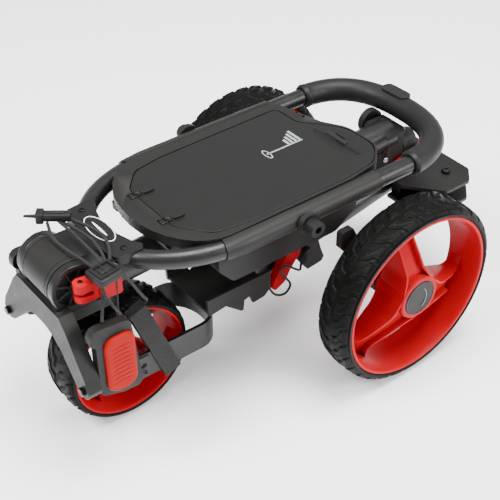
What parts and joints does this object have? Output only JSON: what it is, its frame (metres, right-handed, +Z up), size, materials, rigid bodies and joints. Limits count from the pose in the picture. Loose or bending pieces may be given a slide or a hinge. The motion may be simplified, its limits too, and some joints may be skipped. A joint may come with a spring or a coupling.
{
  "type": "golf trolley",
  "caption": "Folded push trolley for a golf bag: spoked wheels, folding handle loop with a lidded console, bag cradle with padded wings and a folding front wheel.",
  "frame": {"origin": "middle of the folded trolley's footprint, on the ground that the wheels stand on", "axes": "+X from the folding barrel towards the leg hub and the grip, +Y across from the near wheel to the far wheel, +Z up"},
  "size_m": [0.6682, 0.4082, 0.317],
  "materials": {
    "satin_black_paint": "satin powder coat",
    "grained_plastic": "fine moulded grain",
    "red_plastic": "semi-gloss moulded nylon",
    "orange_pad": "ribbed soft moulding",
    "tyre_foam": "matte moulded foam tread",
    "grip_foam": "smooth matte foam",
    "steel_hardware": "plated",
    "elastic_cord": "braided sheath",
    "webbing": "hook-and-loop webbing"
  },
  "bodies": {
    "frame": {"main_spine": "satin_black_paint", "cradle_arch": "grained_plastic", "barrel_ear_near": "satin_black_paint", "barrel_ear_far": "satin_black_paint", "hinge_pin": "steel_hardware", "cam_eye": "steel_hardware", "cam_pin": "steel_hardware", "hub_housing": "grained_plastic", "spine_collar": "grained_plastic", "spine_knob": "grained_plastic", "leg_bolt_near": "steel_hardware", "leg_bolt_far": "steel_hardware", "front_pin": "steel_hardware", "wing_bolt_near": "steel_hardware", "wing_bolt_far": "steel_hardware", "strap_buckle": "grained_plastic", "elastic_drop": "elastic_cord", "elastic_loop": "elastic_cord"},
    "handle": {"hinge_barrel": "satin_black_paint", "handle_tube": "satin_black_paint", "handle_grip": "grip_foam", "grip_button": "grip_foam", "yoke_plate": "grained_plastic", "console_base": "grained_plastic", "accessory_boss_near": "grained_plastic", "accessory_boss_far": "grained_plastic", "cross_rod": "steel_hardware", "lid_hinge_pin": "steel_hardware", "elastic_toggle": "grained_plastic", "elastic_front": "elastic_cord", "elastic_rear": "elastic_cord"},
    "lid": {"console_lid": "grained_plastic"},
    "cam": {"cam_lever": "red_plastic"},
    "hub_cam": {"hub_lever": "red_plastic"},
    "wing_near": {"wing_near": "grained_plastic", "wing_pad_near": "orange_pad"},
    "wing_far": {"wing_far": "grained_plastic", "wing_pad_far": "orange_pad"},
    "front_leg": {"front_spine": "satin_black_paint", "front_fork": "satin_black_paint", "front_axle": "steel_hardware", "lower_bag_rest": "grained_plastic", "latch_bracket": "grained_plastic", "fork_strap": "webbing", "brake_cable": "elastic_cord"},
    "latch": {"latch_lever": "red_plastic"},
    "front_wheel": {"front_tyre": "tyre_foam", "front_rim": "red_plastic"},
    "leg_near": {"rear_leg_near": "satin_black_paint"},
    "leg_far": {"rear_leg_far": "satin_black_paint"},
    "carrier_near": {"wheel_carrier_near": "satin_black_paint", "rear_axle_near": "steel_hardware"},
    "carrier_far": {"wheel_carrier_far": "satin_black_paint", "rear_axle_far": "steel_hardware"},
    "rear_wheel_near": {"rear_near_tyre": "tyre_foam", "rear_near_rim": "red_plastic", "hub_cap_near": "grained_plastic"},
    "rear_wheel_far": {"rear_far_tyre": "tyre_foam", "rear_far_rim": "red_plastic", "hub_cap_far": "grained_plastic"}
  },
  "joints": [
    {"name": "handle_fold", "type": "hinge", "parent": "frame", "child": "handle", "pos_m": [-0.2984, 0, 0.26], "axis": [0, -1, 0], "range_deg": [0, 120]},
    {"name": "lid_hinge", "type": "hinge", "parent": "handle", "child": "lid", "pos_m": [-0.1684, 0, 0.288], "axis": [0, -1, 0], "range_deg": [0, 100]},
    {"name": "cam_release", "type": "hinge", "parent": "frame", "child": "cam", "pos_m": [-0.2974, -0.054, 0.264], "axis": [0, 0, -1], "range_deg": [0, 110], "deforming": ["elastic_loop", "elastic_drop"]},
    {"name": "hub_lever_release", "type": "hinge", "parent": "frame", "child": "hub_cam", "pos_m": [0.2356, -0.027, 0.2045], "axis": [0, -1, 0], "range_deg": [0, 60]},
    {"name": "wing_near_hinge", "type": "hinge", "parent": "frame", "child": "wing_near", "pos_m": [-0.3084, -0.092, 0.15], "axis": [1, 0, 0], "range_deg": [0, 150]},
    {"name": "wing_far_hinge", "type": "hinge", "parent": "frame", "child": "wing_far", "pos_m": [-0.3084, 0.092, 0.15], "axis": [-1, 0, 0], "range_deg": [0, 150]},
    {"name": "front_fold", "type": "hinge", "parent": "frame", "child": "front_leg", "pos_m": [0.2916, 0, 0.168], "axis": [0, -1, 0], "range_deg": [0, 160]},
    {"name": "latch_release", "type": "hinge", "parent": "front_leg", "child": "latch", "pos_m": [0.0426, -0.03, 0.148], "axis": [0, -1, 0], "range_deg": [0, 24]},
    {"name": "front_wheel_spin", "type": "hinge", "parent": "front_leg", "child": "front_wheel", "pos_m": [-0.2284, 0, 0.0925], "axis": [0, 1, 0], "continuous": true},
    {"name": "leg_near_swing", "type": "hinge", "parent": "frame", "child": "leg_near", "pos_m": [0.3006, -0.064, 0.168], "axis": [0, 0, 1], "range_deg": [0, 50]},
    {"name": "carrier_near_swing", "type": "hinge", "parent": "leg_near", "child": "carrier_near", "pos_m": [0.1166, -0.128, 0.168], "axis": [0, 0, -1], "range_deg": [0, 50]},
    {"name": "rear_wheel_near_spin", "type": "hinge", "parent": "carrier_near", "child": "rear_wheel_near", "pos_m": [0.1166, -0.175, 0.135], "axis": [0, 1, 0], "continuous": true},
    {"name": "leg_far_swing", "type": "hinge", "parent": "frame", "child": "leg_far", "pos_m": [0.3006, 0.064, 0.168], "axis": [0, 0, -1], "range_deg": [0, 50]},
    {"name": "carrier_far_swing", "type": "hinge", "parent": "leg_far", "child": "carrier_far", "pos_m": [0.1166, 0.128, 0.168], "axis": [0, 0, 1], "range_deg": [0, 50]},
    {"name": "rear_wheel_far_spin", "type": "hinge", "parent": "carrier_far", "child": "rear_wheel_far", "pos_m": [0.1166, 0.175, 0.135], "axis": [0, 1, 0], "continuous": true}
  ],
  "couplings": [
    {"joint": "leg_near_swing", "follows": "front_fold", "ratio": 0.3125},
    {"joint": "carrier_near_swing", "follows": "front_fold", "ratio": 0.3125},
    {"joint": "leg_far_swing", "follows": "front_fold", "ratio": 0.3125},
    {"joint": "carrier_far_swing", "follows": "front_fold", "ratio": 0.3125}
  ]
}
